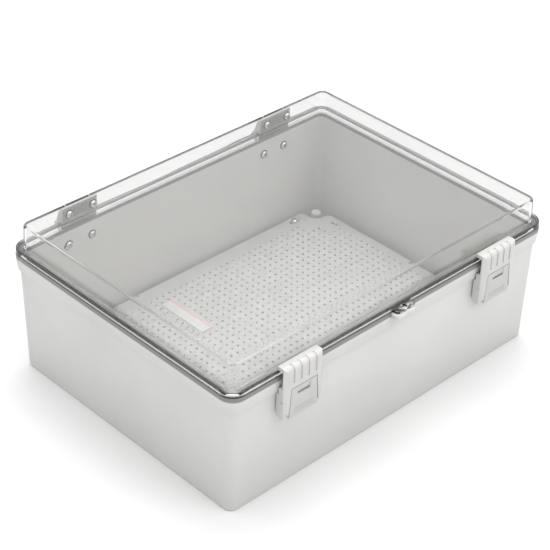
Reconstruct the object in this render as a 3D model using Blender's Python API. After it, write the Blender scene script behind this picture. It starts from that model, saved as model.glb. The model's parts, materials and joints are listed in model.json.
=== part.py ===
"""Hinged clear-cover enclosure: a grey moulded box, a transparent domed lid on two
hinges, two over-centre draw latches, a padlock hasp and an inner mounting plate.

Frame: origin at the centre of the underside, +X along the hinge and latch sides,
-Y is the latch side (front), +Y the hinge side (back), +Z up.  Metres.
"""
import math

import bmesh
import bpy
from mathutils import Vector

MM = 0.001

# ---------------------------------------------------------------- driving sizes
HEIGHT = 156.0 * MM          # underside to the top of the lid
RIM_HALF_X = 200.0 * MM      # lid flange, half length
RIM_HALF_Y = 148.4 * MM      # lid flange, half width
SEAM_Z = 126.9 * MM          # top of the box rim, under the gasket
LIP_Z = 126.0 * MM           # top of the rim's inner edge
LID_GAP = 1.4 * MM           # gap between box rim and lid flange, filled by the gasket
LID_WALL = 3.0 * MM          # lid wall
PIECE_X = 124.5 * MM         # hinges and latches sit at plus and minus this
FIT = 0.3 * MM               # clearance between neighbouring pieces

# box
BASE_HALF_X = 193.5 * MM
BASE_HALF_Y = 142.5 * MM
DRAFT = 2.7 * MM             # growth of each wall from base to collar
COLLAR_Z = 110.0 * MM        # lower edge of the stiffening collar
COLLAR_STEP = 2.0 * MM       # how far the collar stands proud of the wall
BEAD_Z = 119.5 * MM          # the collar widens up to here, then the rim is upright
RIM_INSET = 0.2 * MM         # rim behind the lid flange
FLOOR = 3.5 * MM
INNER_TOP_X = 192.0 * MM
INNER_TOP_Y = 141.0 * MM
INNER_DRAFT = 1.7 * MM
LIP_WIDTH = 2.2 * MM         # low inner edge that keeps the gasket in place
GASKET_WIDTH = 4.4 * MM
GASKET_GAP = 0.2 * MM        # above and below the gasket

# lid dome
DOME_X = 191.6 * MM          # outer half sizes just below the top round
DOME_Y = 140.6 * MM
DOME_DRAFT = 1.0 * MM
DOME_ROUND = 4.0 * MM
DOME_CORNER = 8.0 * MM
FLANGE_THICK = 4.5 * MM
FLANGE_CORNER = 15.0 * MM

# mounting plate and what holds it
PLATE_HALF_X = 181.0 * MM
PLATE_HALF_Y = 133.5 * MM
PLATE_TOP = 19.8 * MM
PLATE_THICK = 3.0 * MM
PLATE_SCREW = (144.7 * MM, 127.0 * MM)
SPARE_SLOT = (172.5 * MM, 95.3 * MM)
BOSS = (173.5 * MM, 124.0 * MM)
BOSS_RADIUS = 7.0 * MM
BOSS_TOP = 19.0 * MM
BAY_RADIUS = 11.5 * MM       # cut-back of the plate beside each pillar
EAR_ROUND = 6.0 * MM         # rounds on both sides of that cut-back
MOUNT_BORE = 3.0 * MM

# hinges
HINGE_Y = 151.0 * MM
HINGE_Z = 129.5 * MM
HINGE_HALF = 20.0 * MM
HINGE_RECESS = 146.7 * MM    # rim and flange are cut back to here beside each hinge
KNUCKLE = 3.5 * MM
HINGE_SPLIT = 8.6 * MM       # half width of the middle knuckle's slot
HINGE_PIN = 1.5 * MM
HINGE_SCREW_X = 13.8 * MM
LID_SCREW_Z = 143.0 * MM
BOX_SCREW_Z = 108.1 * MM

# latches (y and z as in the closed state)
LATCH_HALF = 22.3 * MM
CHEEK = 4.0 * MM
FACE_Y = -156.5 * MM
PIVOT_A = (-150.7 * MM, 112.9 * MM)   # lever on bracket
PIVOT_B = (-152.2 * MM, 101.9 * MM)   # hook frame on lever
LATCH_PIN = 1.25 * MM
HUB = 2.6 * MM
BLOCK_BOTTOM = 115.0 * MM
HOOK_TOP = 137.0 * MM
LATCH_FOOT = 84.0 * MM
LATCH_SCREW = (8.0 * MM, 100.0 * MM)

# hasp
HASP_HALF = 12.2 * MM
HASP_TIP = -156.8 * MM
HASP_HOLE_Y = -152.2 * MM
HASP_HOLE = 3.05 * MM
HASP_THICK = 5.0 * MM        # lug on the box

ROUND_STEPS = 6              # straight runs in each rounded corner
TURN_STEPS = 20              # sides of small round pieces


# ---------------------------------------------------------------- materials
def make_material(name, colour, roughness, metallic=0.0, alpha=1.0):
    """Principled material with a plain colour."""
    mat = bpy.data.materials.new(name)
    mat.use_nodes = True
    shader = mat.node_tree.nodes["Principled BSDF"]
    shader.inputs["Base Color"].default_value = (*colour, 1.0)
    shader.inputs["Roughness"].default_value = roughness
    shader.inputs["Metallic"].default_value = metallic
    shader.inputs["Alpha"].default_value = alpha
    return mat


def make_materials():
    """Every finish on the box, by name."""
    return {
        "box": make_material("box_grey", (0.62, 0.62, 0.60), 0.5),
        "clear": make_material("clear_cover", (0.93, 0.95, 0.95), 0.05, alpha=0.3),
        "gasket": make_material("gasket_foam", (0.08, 0.08, 0.085), 0.8),
        "plate": make_material("plate_white", (0.70, 0.70, 0.69), 0.45),
        "latch": make_material("latch_white", (0.72, 0.72, 0.71), 0.4),
        "leaf": make_material("hinge_grey", (0.45, 0.45, 0.44), 0.45),
        "steel": make_material("bright_steel", (0.75, 0.75, 0.74), 0.25, metallic=1.0),
        "brass": make_material("insert_brass", (0.72, 0.55, 0.25), 0.3, metallic=1.0),
        "plug": make_material("plug_white", (0.75, 0.75, 0.74), 0.5),
        "mark": make_material("marking_strip", (0.80, 0.78, 0.77), 0.5),
    }


# ---------------------------------------------------------------- outlines
def arc(centre, radius, start, end, steps):
    """Points on an arc, angles in degrees, both ends included."""
    points = []
    for i in range(steps + 1):
        angle = math.radians(start + (end - start) * i / steps)
        points.append((centre[0] + radius * math.cos(angle), centre[1] + radius * math.sin(angle)))
    return points


def rounded_frame(half_x, half_y, radius):
    """Rounded rectangle about the centre."""
    points = []
    x = half_x - radius
    y = half_y - radius
    corners = ((x, y, 0.0), (-x, y, 90.0), (-x, -y, 180.0), (x, -y, 270.0))
    for corner_x, corner_y, start in corners:
        points += arc((corner_x, corner_y), radius, start, start + 90.0, ROUND_STEPS)
    return points


def stadium(centre, half_length, half_width, along_x=True):
    """Slot outline with round ends."""
    reach = half_length - half_width
    x, y = centre
    if along_x:
        ends = arc((x + reach, y), half_width, -90.0, 90.0, 6)
        return ends + arc((x - reach, y), half_width, 90.0, 270.0, 6)
    ends = arc((x, y + reach), half_width, 0.0, 180.0, 6)
    return ends + arc((x, y - reach), half_width, 180.0, 360.0, 6)


def box_outline(low, high):
    """Rectangle between two corners."""
    return [(low[0], low[1]), (high[0], low[1]), (high[0], high[1]), (low[0], high[1])]


# ---------------------------------------------------------------- shapes (bmesh)
def finish_shape(shape):
    """Turn every face outward."""
    bmesh.ops.recalc_face_normals(shape, faces=shape.faces)
    return shape


def loft(loops, close_ring=False):
    """Skin a run of equal-length 3-D loops; caps both ends unless it closes on itself."""
    shape = bmesh.new()
    rings = [[shape.verts.new(p) for p in loop] for loop in loops]
    count = len(rings[0])
    pairs = list(zip(rings, rings[1:]))
    if close_ring:
        pairs.append((rings[-1], rings[0]))
    for lower, upper in pairs:
        for i in range(count):
            j = (i + 1) % count
            shape.faces.new((lower[i], lower[j], upper[j], upper[i]))
    if not close_ring:
        shape.faces.new(rings[0])
        shape.faces.new(rings[-1])
    return finish_shape(shape)


def prism(outline, axis, low, high):
    """Outline extruded along an axis; the outline holds the other two coordinates."""
    def lift(point, level):
        a, b = point
        if axis == "X":
            return (level, a, b)
        if axis == "Y":
            return (a, level, b)
        return (a, b, level)

    return loft([[lift(p, level) for p in outline] for level in (low, high)])


def rod(radius, axis, centre, low, high, steps=TURN_STEPS):
    """Round bar along an axis; centre holds the other two coordinates."""
    outline = arc(centre, radius, 0.0, 360.0 - 360.0 / steps, steps - 1)
    return prism(outline, axis, low, high)


def block(low, high):
    """Plain block between two corners."""
    return prism(box_outline(low[:2], high[:2]), "Z", low[2], high[2])


def merged(shapes):
    """Several separate closed shapes in one bmesh."""
    whole = bmesh.new()
    for shape in shapes:
        scrap = bpy.data.meshes.new("scrap")
        shape.to_mesh(scrap)
        whole.from_mesh(scrap)
        bpy.data.meshes.remove(scrap)
        shape.free()
    return whole


def turned_along_y(profile, x, z, direction):
    """Round piece about a Y line through (x, z): profile is (radius, y) pairs, ends closed."""
    loops = []
    for radius, y in profile:
        ring = arc((x, z), radius, 0.0, direction * (360.0 - 360.0 / TURN_STEPS), TURN_STEPS - 1)
        loops.append([(a, y, b) for a, b in ring])
    return loft(loops)


# ---------------------------------------------------------------- objects
def add_object(name, shape, parent, origin):
    """Link a shape whose coordinates are its parent's, with its origin moved to a point."""
    bmesh.ops.translate(shape, verts=shape.verts, vec=-Vector(origin))
    mesh = bpy.data.meshes.new(name)
    shape.to_mesh(mesh)
    shape.free()
    obj = bpy.data.objects.new(name, mesh)
    bpy.context.scene.collection.objects.link(obj)
    obj.parent = parent
    obj.location = origin
    return obj


def add_part(name, shape, material, parent=None, origin=(0.0, 0.0, 0.0)):
    """One named sub-part with its own material, round faces shaded smooth."""
    obj = add_object(name, shape, parent, origin)
    obj.data.materials.append(material)
    obj.data.shade_smooth()
    obj.data.set_sharp_from_angle(angle=math.radians(35.0))
    return obj


def apply_tool(part, shape, operation, name):
    """Live Boolean with a hidden tool that moves with the part."""
    tool = add_object(f"{part.name}_{name}", shape, part.parent, part.location)
    tool.hide_render = True
    tool.display_type = "WIRE"
    step = part.modifiers.new(name, "BOOLEAN")
    step.operation = operation
    step.solver = "EXACT"
    step.object = tool


def cut(part, shape, name):
    apply_tool(part, shape, "DIFFERENCE", name)


def fuse(part, shape, name):
    apply_tool(part, shape, "UNION", name)


def add_empty(name, location):
    """Empty that a sub-assembly hangs from."""
    empty = bpy.data.objects.new(name, None)
    empty.location = location
    bpy.context.scene.collection.objects.link(empty)
    return empty


def mirrored(point):
    """A point repeated in all four corners of the box."""
    x, y = point
    return [(sx * x, sy * y) for sx in (-1, 1) for sy in (-1, 1)]


# ---------------------------------------------------------------- box
def wall_y(z):
    """Outer face of the long walls at a height below the collar."""
    return BASE_HALF_Y + DRAFT * z / COLLAR_Z


def inner_y(z):
    """Inner face of the long walls at a height."""
    return INNER_TOP_Y - INNER_DRAFT * (LIP_Z - z) / LIP_Z


def frame_loop(half_x, half_y, radius, z):
    """Rounded rectangle at one height."""
    return [(x, y, z) for x, y in rounded_frame(half_x, half_y, radius)]


def box_profile():
    """Loops from the underside up the outside, over the rim and down to the floor."""
    foot = 1.5 * MM
    edge = 0.6 * MM
    rim_x = RIM_HALF_X - RIM_INSET
    rim_y = RIM_HALF_Y - RIM_INSET
    lip_x = INNER_TOP_X + LIP_WIDTH
    lip_y = INNER_TOP_Y + LIP_WIDTH
    wall_x = BASE_HALF_X + DRAFT
    wall_top = BASE_HALF_Y + DRAFT
    fillet = 3.0 * MM
    floor_x = INNER_TOP_X - INNER_DRAFT
    floor_y = INNER_TOP_Y - INNER_DRAFT
    return [
        frame_loop(BASE_HALF_X - foot, BASE_HALF_Y - foot, 6.5 * MM, 0.0),
        frame_loop(BASE_HALF_X, BASE_HALF_Y, 8.0 * MM, foot),
        frame_loop(wall_x, wall_top, 9.9 * MM, COLLAR_Z),
        frame_loop(wall_x + COLLAR_STEP, wall_top + COLLAR_STEP, 12.5 * MM, COLLAR_Z),
        frame_loop(rim_x, rim_y, 14.8 * MM, BEAD_Z),
        frame_loop(rim_x, rim_y, 14.8 * MM, SEAM_Z - edge),
        frame_loop(rim_x - edge, rim_y - edge, 14.2 * MM, SEAM_Z),
        frame_loop(lip_x, lip_y, 8.2 * MM, SEAM_Z),
        frame_loop(lip_x, lip_y, 8.2 * MM, LIP_Z),
        frame_loop(INNER_TOP_X, INNER_TOP_Y, 6.0 * MM, LIP_Z),
        frame_loop(floor_x, floor_y, 5.0 * MM, FLOOR + fillet),
        frame_loop(floor_x - 0.9 * MM, floor_y - 0.9 * MM, 4.1 * MM, FLOOR + 0.9 * MM),
        frame_loop(floor_x - fillet, floor_y - fillet, 2.0 * MM, FLOOR),
    ]


def hasp_outline(root_y):
    """Padlock lug seen from above: two round lobes with a shallow notch between them."""
    tip = HASP_TIP
    lobe = 4.0 * MM
    notch = 0.6 * MM
    outline = [(-HASP_HALF, root_y)]
    outline += arc((lobe - HASP_HALF, tip + lobe), lobe, 180.0, 270.0, 5)
    outline += [(-2.6 * MM, tip), (0.0, tip + notch), (2.6 * MM, tip)]
    outline += arc((HASP_HALF - lobe, tip + lobe), lobe, 270.0, 360.0, 5)
    outline += [(HASP_HALF, root_y)]
    return outline


def hinge_recesses(low, high):
    """Tools that cut the rim back beside both hinges."""
    reach = HINGE_HALF + 0.6 * MM
    outside = RIM_HALF_Y + 2.0 * MM
    return [block((x - reach, HINGE_RECESS, low), (x + reach, outside, high)) for x in (-PIECE_X, PIECE_X)]


def build_box(mats):
    box = add_part("box_shell", loft(box_profile()), mats["box"])
    sink = 1.0 * MM
    pillars = [rod(BOSS_RADIUS, "Z", p, FLOOR - sink, BOSS_TOP) for p in mirrored(BOSS)]
    standoff = 5.5 * MM
    under_plate = PLATE_TOP - PLATE_THICK - FIT
    pillars += [rod(standoff, "Z", p, FLOOR - sink, under_plate) for p in mirrored(PLATE_SCREW)]
    fuse(box, merged(pillars), "pillars")
    hasp = prism(hasp_outline(2.0 * MM - RIM_HALF_Y), "Z", SEAM_Z - HASP_THICK, SEAM_Z - FIT)
    fuse(box, hasp, "hasp")
    cut(box, merged(hinge_recesses(COLLAR_Z - sink, SEAM_Z + sink)), "recesses")

    bores = [rod(MOUNT_BORE, "Z", p, -sink, BOSS_TOP + sink) for p in mirrored(BOSS)]
    insert_bore = 3.1 * MM
    insert_floor = 7.5 * MM
    bores += [rod(insert_bore, "Z", p, insert_floor, PLATE_TOP) for p in mirrored(PLATE_SCREW)]
    bores.append(rod(HASP_HOLE, "Z", (0.0, HASP_HOLE_Y), BEAD_Z - sink, SEAM_Z + sink))
    clearance = 2.3 * MM
    for centre in (-PIECE_X, PIECE_X):
        for side in (-1, 1):
            hinge_at = (centre + side * HINGE_SCREW_X, BOX_SCREW_Z)
            bores.append(rod(clearance, "Y", hinge_at, INNER_TOP_Y - 5.0 * MM, RIM_HALF_Y))
            latch_at = (centre + side * LATCH_SCREW[0], LATCH_SCREW[1])
            bores.append(rod(clearance, "Y", latch_at, -RIM_HALF_Y, 5.0 * MM - INNER_TOP_Y))
    cut(box, merged(bores), "bores")


def build_gasket(mats):
    """Flat seal on the rim, under the lid flange."""
    inner_x = INNER_TOP_X + LIP_WIDTH + FIT
    inner_half_y = INNER_TOP_Y + LIP_WIDTH + FIT
    low = SEAM_Z + GASKET_GAP
    high = SEAM_Z + LID_GAP - GASKET_GAP
    outer_x = inner_x + GASKET_WIDTH
    outer_y = inner_half_y + GASKET_WIDTH
    loops = [
        frame_loop(inner_x, inner_half_y, 8.5 * MM, low),
        frame_loop(outer_x, outer_y, 12.9 * MM, low),
        frame_loop(outer_x, outer_y, 12.9 * MM, high),
        frame_loop(inner_x, inner_half_y, 8.5 * MM, high),
    ]
    gasket = add_part("lid_gasket", loft(loops, close_ring=True), mats["gasket"])
    cut(gasket, merged(hinge_recesses(SEAM_Z - LID_GAP, SEAM_Z + 2.0 * LID_GAP)), "recesses")


# ---------------------------------------------------------------- inside the box
def plate_corner():
    """Back right corner of the plate: two round ears with a round bay between them."""
    x, y = BOSS
    reach = BAY_RADIUS + EAR_ROUND
    back_y = PLATE_HALF_Y - EAR_ROUND
    back_x = x - math.sqrt(reach ** 2 - (back_y - y) ** 2)
    side_x = PLATE_HALF_X - EAR_ROUND
    side_y = y - math.sqrt(reach ** 2 - (side_x - x) ** 2)
    first = math.degrees(math.atan2(y - back_y, x - back_x))
    last = math.degrees(math.atan2(y - side_y, x - side_x))
    points = arc((back_x, back_y), EAR_ROUND, 90.0, first, 4)[:-1]
    points += arc((x, y), BAY_RADIUS, first + 180.0, last + 180.0, 8)[:-1]
    points += arc((side_x, side_y), EAR_ROUND, last, 0.0, 4)
    return points


def plate_outline():
    """Rectangle whose corners are cut back round the four pillars."""
    corner = plate_corner()
    outline = list(corner)
    outline += [(x, -y) for x, y in reversed(corner)]
    outline += [(-x, -y) for x, y in corner]
    outline += [(-x, y) for x, y in reversed(corner)]
    return outline


def build_plate(mats):
    low = PLATE_TOP - PLATE_THICK
    plate = add_part("mounting_plate", prism(plate_outline(), "Z", low, PLATE_TOP), mats["plate"])
    slots = []
    for point in mirrored(PLATE_SCREW):
        slots.append(prism(stadium(point, 7.5 * MM, 2.4 * MM), "Z", low - FIT, PLATE_TOP + FIT))
    for point in mirrored(SPARE_SLOT):
        outline = stadium(point, 4.6 * MM, 2.4 * MM, along_x=False)
        slots.append(prism(outline, "Z", low - FIT, PLATE_TOP + FIT))
    cut(plate, merged(slots), "slots")

    strip_low = PLATE_TOP + FIT
    strip = block((-58.0 * MM, 45.0 * MM, strip_low), (-43.5 * MM, 105.0 * MM, strip_low + 0.5 * MM))
    add_part("marking_strip", strip, mats["mark"])


def ring_at(point, radius, z):
    """Circle about a Z line at one height."""
    ring = arc(point, radius, 0.0, 360.0 - 360.0 / TURN_STEPS, TURN_STEPS - 1)
    return [(a, b, z) for a, b in ring]


def turned_along_z(profile, point):
    """Round piece about a Z line: profile is (radius, z) pairs, ends closed."""
    return loft([ring_at(point, radius, z) for radius, z in profile])


def insert_tube(point):
    """Threaded brass insert, drawn as a plain tube."""
    low = 8.0 * MM
    high = PLATE_TOP - PLATE_THICK - 2 * FIT
    bore = 1.8 * MM
    outside = 2.75 * MM
    section = ((bore, low), (outside, low), (outside, high), (bore, high))
    return loft([ring_at(point, radius, z) for radius, z in section], close_ring=True)


def build_plate_fixings(mats):
    head_low = PLATE_TOP + FIT
    for i, point in enumerate(mirrored(PLATE_SCREW), start=1):
        screw = turned_along_z([
            (1.4 * MM, 10.0 * MM),
            (1.4 * MM, head_low),
            (3.8 * MM, head_low),
            (3.8 * MM, head_low + 1.2 * MM),
            (2.9 * MM, head_low + 2.1 * MM),
            (1.4 * MM, head_low + 2.5 * MM),
        ], point)
        add_part(f"plate_screw_{i}", screw, mats["steel"])
        add_part(f"plate_insert_{i}", insert_tube(point), mats["brass"])

    cap_low = BOSS_TOP + FIT
    for i, point in enumerate(mirrored(BOSS), start=1):
        plug = turned_along_z([
            (2.2 * MM, BOSS_TOP - 8.0 * MM),
            (2.6 * MM, BOSS_TOP - 6.5 * MM),
            (2.6 * MM, cap_low),
            (4.7 * MM, cap_low),
            (4.7 * MM, cap_low + 1.3 * MM),
            (4.0 * MM, cap_low + 1.9 * MM),
        ], point)
        add_part(f"mount_plug_{i}", plug, mats["plug"])


# ---------------------------------------------------------------- lid
def lid_profile():
    """Loops from the inner top, down the inside, round the flange and up to the outer top."""
    under = SEAM_Z + LID_GAP
    flange_top = under + FLANGE_THICK
    shoulder = HEIGHT - DOME_ROUND
    inner_x = DOME_X - LID_WALL
    inner_half_y = DOME_Y - LID_WALL
    flat_x = DOME_X - DOME_ROUND
    flat_y = DOME_Y - DOME_ROUND
    edge = 0.4 * MM
    loops = [
        frame_loop(flat_x, flat_y, DOME_CORNER - DOME_ROUND, HEIGHT - LID_WALL),
        frame_loop(inner_x, inner_half_y, DOME_CORNER - LID_WALL, shoulder),
        frame_loop(inner_x + DOME_DRAFT, inner_half_y + DOME_DRAFT, 6.0 * MM, under),
        frame_loop(RIM_HALF_X - edge, RIM_HALF_Y - edge, FLANGE_CORNER - edge, under),
        frame_loop(RIM_HALF_X, RIM_HALF_Y, FLANGE_CORNER, under + edge),
        frame_loop(RIM_HALF_X, RIM_HALF_Y, FLANGE_CORNER, flange_top - edge),
        frame_loop(RIM_HALF_X - edge, RIM_HALF_Y - edge, FLANGE_CORNER - edge, flange_top),
        frame_loop(DOME_X + DOME_DRAFT + edge, DOME_Y + DOME_DRAFT + edge, 9.4 * MM, flange_top),
        frame_loop(DOME_X + DOME_DRAFT, DOME_Y + DOME_DRAFT, 9.0 * MM, flange_top + edge),
        frame_loop(DOME_X, DOME_Y, DOME_CORNER, shoulder),
    ]
    steps = 3
    for i in range(1, steps + 1):
        angle = math.radians(90.0 * i / steps)
        inset = DOME_ROUND * (1.0 - math.cos(angle))
        z = shoulder + DOME_ROUND * math.sin(angle)
        loops.append(frame_loop(DOME_X - inset, DOME_Y - inset, DOME_CORNER - inset, z))
    return loops


def build_lid(mats):
    axis_point = (0.0, HINGE_Y, HINGE_Z)
    lid = add_part("lid_cover", loft(lid_profile()), mats["clear"], origin=axis_point)
    under = SEAM_Z + LID_GAP
    lug_low = under + FIT
    lug_high = under + 2.4 * MM
    fuse(lid, prism(hasp_outline(2.0 * MM - RIM_HALF_Y), "Z", lug_low, lug_high), "hasp")
    cut(lid, merged(hinge_recesses(under - LID_GAP, under + FLANGE_THICK + LID_GAP)), "recesses")
    bores = [rod(HASP_HOLE, "Z", (0.0, HASP_HOLE_Y), under - LID_GAP, lug_high + LID_GAP)]
    for centre in (-PIECE_X, PIECE_X):
        for side in (-1, 1):
            at = (centre + side * HINGE_SCREW_X, LID_SCREW_Z)
            bores.append(rod(2.3 * MM, "Y", at, DOME_Y - 6.0 * MM, DOME_Y + 3.0 * MM))
    cut(lid, merged(bores), "bores")


# ---------------------------------------------------------------- hinges
def screw_along_y(x, z, seat, tip, direction):
    """Pan-head screw: head under y = seat, shank to y = tip."""
    head = -direction
    shank = 1.9 * MM
    return turned_along_y([
        (shank, tip),
        (shank, seat),
        (3.9 * MM, seat),
        (3.9 * MM, seat + head * 1.1 * MM),
        (3.1 * MM, seat + head * 2.1 * MM),
        (1.5 * MM, seat + head * 2.6 * MM),
    ], x, z, 1)


def build_hinge(side, mats):
    """Two leaves, one pin and four screws; coordinates are relative to the hinge centre."""
    name = f"hinge_{side}"
    centre_x = -PIECE_X if side == "left" else PIECE_X
    anchor = add_empty(f"{name}_place", (centre_x, 0.0, 0.0))
    axis_point = (0.0, HINGE_Y, HINGE_Z)
    flange_top = SEAM_Z + LID_GAP + FLANGE_THICK
    y, z = HINGE_Y, HINGE_Z

    foot = DOME_Y + DOME_DRAFT
    wedge = [
        (foot + 0.9 * MM, flange_top + 0.6 * MM),
        (y, z + KNUCKLE + 0.6 * MM),
        (y, z + KNUCKLE + 1.2 * MM),
        (y - 4.2 * MM, z + 17.5 * MM),
        (y - 7.5 * MM, z + 20.5 * MM),
        (DOME_Y + 0.5 * MM, z + 20.5 * MM),
        (foot + 0.4 * MM, flange_top + 1.7 * MM),
    ]
    leaf = add_part(f"{name}_lid_leaf", prism(wedge, "X", -HINGE_HALF, HINGE_HALF),
                    mats["leaf"], anchor, axis_point)
    middle = HINGE_SPLIT - FIT
    knuckle = arc((y, z), KNUCKLE, 180.0, 360.0, 12)
    knuckle += [(y - 0.7 * MM, z + 7.0 * MM), (y - KNUCKLE, z + 7.0 * MM)]
    fuse(leaf, prism(knuckle, "X", -middle, middle), "knuckle")
    bores = [rod(HINGE_PIN + FIT, "X", (y, z), -HINGE_HALF, HINGE_HALF)]
    pocket = 8.0 * MM
    bores.append(prism([(foot - MM, z + 9.0 * MM), (foot + 2.2 * MM, z + 9.0 * MM),
                        (foot + 1.2 * MM, z + 18.0 * MM), (foot - 2.0 * MM, z + 18.0 * MM)],
                       "X", -pocket, pocket))
    for s in (-1, 1):
        bores.append(rod(2.2 * MM, "Y", (s * HINGE_SCREW_X, LID_SCREW_Z), foot - 2.0 * MM, y - 5.3 * MM))
    cut(leaf, merged(bores), "bores")

    back = HINGE_RECESS + FIT
    heel = wall_y(BOX_SCREW_Z) + FIT + 0.2 * MM
    base_z = 100.0 * MM
    shelf = COLLAR_Z - FIT
    slab = [
        (back, shelf),
        (back, z - KNUCKLE - 0.9 * MM),
        (y + KNUCKLE, z - KNUCKLE - 0.9 * MM),
        (y + KNUCKLE, base_z + 2.5 * MM),
        (y + KNUCKLE - 2.5 * MM, base_z),
        (heel, base_z),
        (heel, shelf),
    ]
    body_leaf = add_part(f"{name}_box_leaf", prism(slab, "X", -HINGE_HALF, HINGE_HALF),
                         mats["leaf"], anchor)
    ear = arc((y, z), KNUCKLE, 0.0, 180.0, 12)
    ear += [(y - KNUCKLE, z - KNUCKLE - 2.0 * MM), (y + KNUCKLE, z - KNUCKLE - 2.0 * MM)]
    ears = [prism(ear, "X", -HINGE_HALF, -HINGE_SPLIT), prism(ear, "X", HINGE_SPLIT, HINGE_HALF)]
    fuse(body_leaf, merged(ears), "ears")
    bores = [rod(HINGE_PIN + FIT, "X", (y, z), -HINGE_HALF - FIT, HINGE_HALF + FIT)]
    for s in (-1, 1):
        bores.append(rod(2.2 * MM, "Y", (s * HINGE_SCREW_X, BOX_SCREW_Z), heel - MM, y + 1.4 * MM))
    cut(body_leaf, merged(bores), "bores")

    pin = rod(HINGE_PIN, "X", (y, z), 0.4 * MM - HINGE_HALF, HINGE_HALF - 0.4 * MM)
    add_part(f"{name}_pin", pin, mats["steel"], anchor, axis_point)

    lid_seat = DOME_Y - LID_WALL - FIT
    box_seat = inner_y(BOX_SCREW_Z) - FIT
    for i, s in enumerate((-1, 1), start=1):
        x = s * HINGE_SCREW_X
        lid_screw = screw_along_y(x, LID_SCREW_Z, lid_seat, y - 5.6 * MM, 1)
        add_part(f"{name}_lid_screw_{i}", lid_screw, mats["steel"], anchor, axis_point)
        box_screw = screw_along_y(x, BOX_SCREW_Z, box_seat, y + 1.0 * MM, 1)
        add_part(f"{name}_box_screw_{i}", box_screw, mats["steel"], anchor)


# ---------------------------------------------------------------- latches
def hook_side():
    """Hook frame seen from its end: lip over the rim, front wall, deep cheek below."""
    rear_low = -145.9 * MM
    rear_high = -148.4 * MM
    inner_face = -152.7 * MM
    lip_low = SEAM_Z + LID_GAP + FLANGE_THICK + FIT
    lip_end = -145.7 * MM
    shoulder = 4.5 * MM
    foot_round = 5.0 * MM
    outline = [(lip_end, lip_low), (lip_end, HOOK_TOP - 1.2 * MM)]
    outline.append((lip_end - 0.8 * MM, HOOK_TOP - 0.4 * MM))
    outline += arc((FACE_Y + shoulder, HOOK_TOP - shoulder), shoulder, 90.0, 180.0, 5)
    outline += [(FACE_Y, 92.0 * MM), (FACE_Y + 2.0 * MM, 88.0 * MM)]
    outline += arc((rear_low - foot_round, LATCH_FOOT + foot_round), foot_round, 270.0, 360.0, 5)
    step = COLLAR_Z - 0.8 * MM
    cheek_top = 115.7 * MM
    outline += [(rear_low, step), (rear_high, step + 0.4 * MM), (rear_high, cheek_top)]
    outline += [(inner_face, cheek_top), (inner_face, lip_low)]
    return outline


def bevel_loop(front_x, z, side):
    """Section of the wedge taken off the front corner of the hook frame."""
    out = 0.5 * MM
    front = FACE_Y - out
    return [
        (side * front_x, front, z),
        (side * (LATCH_HALF + out), front, z),
        (side * (LATCH_HALF + out), FACE_Y + 2.0 * MM, z),
        (side * LATCH_HALF, FACE_Y + 2.0 * MM, z),
        (side * front_x, FACE_Y, z),
    ]


def groove_outline():
    """Shallow band that follows the front face and the rounded top edge."""
    depth = 0.8 * MM
    shoulder = 4.5 * MM
    low = 119.0 * MM
    back = -150.5 * MM
    out = 2.0 * MM
    outline = [(FACE_Y - out, low), (FACE_Y, low), (FACE_Y + depth, low + 1.2 * MM)]
    outline += arc((FACE_Y + shoulder, HOOK_TOP - shoulder), shoulder - depth, 180.0, 90.0, 5)
    outline += [(back - 1.2 * MM, HOOK_TOP - depth), (back, HOOK_TOP), (back, HOOK_TOP + out)]
    outline += [(FACE_Y - out, HOOK_TOP + out)]
    return outline


def build_hook(name, mats, anchor):
    """Frame that reaches over the lid flange and hangs on the lever."""
    origin = (0.0, *PIVOT_B)
    hook = add_part(f"{name}_hook", prism(hook_side(), "X", -LATCH_HALF, LATCH_HALF),
                    mats["latch"], anchor, origin)
    inner = LATCH_HALF - CHEEK
    wall_back = FACE_Y + 3.0 * MM
    cut(hook, block((-inner, wall_back, LATCH_FOOT - MM), (inner, -140.0 * MM, 130.0 * MM)), "hollow")
    window = [
        (-15.2 * MM, BLOCK_BOTTOM),
        (-17.9 * MM, LATCH_FOOT - MM),
        (17.9 * MM, LATCH_FOOT - MM),
        (15.2 * MM, BLOCK_BOTTOM),
    ]
    cut(hook, prism(window, "Y", FACE_Y - MM, wall_back + MM), "window")
    bevels = []
    for side in (-1, 1):
        levels = ((21.2, HOOK_TOP + MM), (15.2, BLOCK_BOTTOM), (18.0, LATCH_FOOT - 2 * MM))
        bevels.append(loft([bevel_loop(x * MM, z, side) for x, z in levels]))
    cut(hook, merged(bevels), "bevels")
    pitch = 8.5 * MM
    half = 1.3 * MM
    grooves = []
    for i in range(4):
        x = (i - 1.5) * pitch
        grooves.append(prism(groove_outline(), "X", x - half, x + half))
    cut(hook, merged(grooves), "grooves")
    cut(hook, rod(LATCH_PIN + FIT, "X", PIVOT_B, -LATCH_HALF - MM, LATCH_HALF + MM), "pin_bore")


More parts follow.
